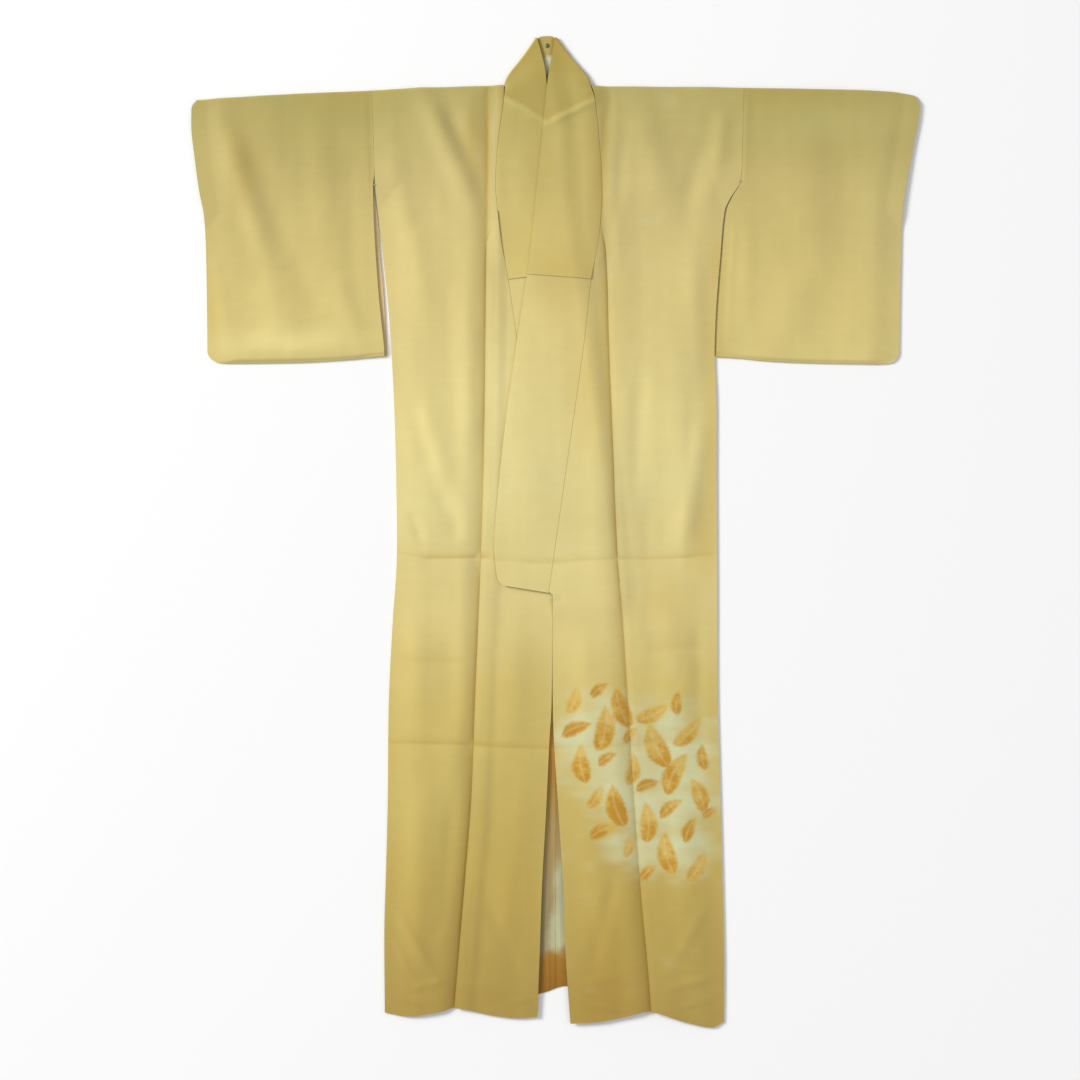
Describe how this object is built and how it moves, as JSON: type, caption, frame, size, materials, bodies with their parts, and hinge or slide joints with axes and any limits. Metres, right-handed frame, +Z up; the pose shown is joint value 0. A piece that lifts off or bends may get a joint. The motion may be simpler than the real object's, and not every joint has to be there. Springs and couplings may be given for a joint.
{
  "type": "tsukesage kimono laid flat",
  "caption": "Lined silk kimono laid flat with its front up: body, overlap panels, square sleeves, wide collar with over-collar, skirt lining in the front slit.",
  "frame": {"origin": "middle of the laid garment in X and Y, on the surface that it lies on", "axes": "+X to the wearer's left across the sleeves, +Y from the hem to the collar, +Z up from the surface through the back and then the fronts"},
  "size_m": [1.2964, 1.7656, 0.0108],
  "materials": {
    "silk": "soft silk crepe, pale gold, low sheen",
    "collar_silk": "soft silk crepe, pale gold, low sheen",
    "skirt_lining": "plain silk lining, shaded from mint and brown to rust",
    "sleeve_lining": "plain silk lining, peach",
    "snap_metal": "dulled greenish-grey metal"
  },
  "bodies": {
    "root": {"body_right": "silk", "body_left": "silk", "okumi_right": "silk", "okumi_left": "silk", "sleeve_right": "silk", "sleeve_left": "silk", "collar": "collar_silk", "over_collar": "collar_silk", "back_lining_right": "skirt_lining", "back_lining_left": "skirt_lining", "sleeve_lining_right": "sleeve_lining", "collar_snap": "snap_metal"}
  },
  "joints": []
}
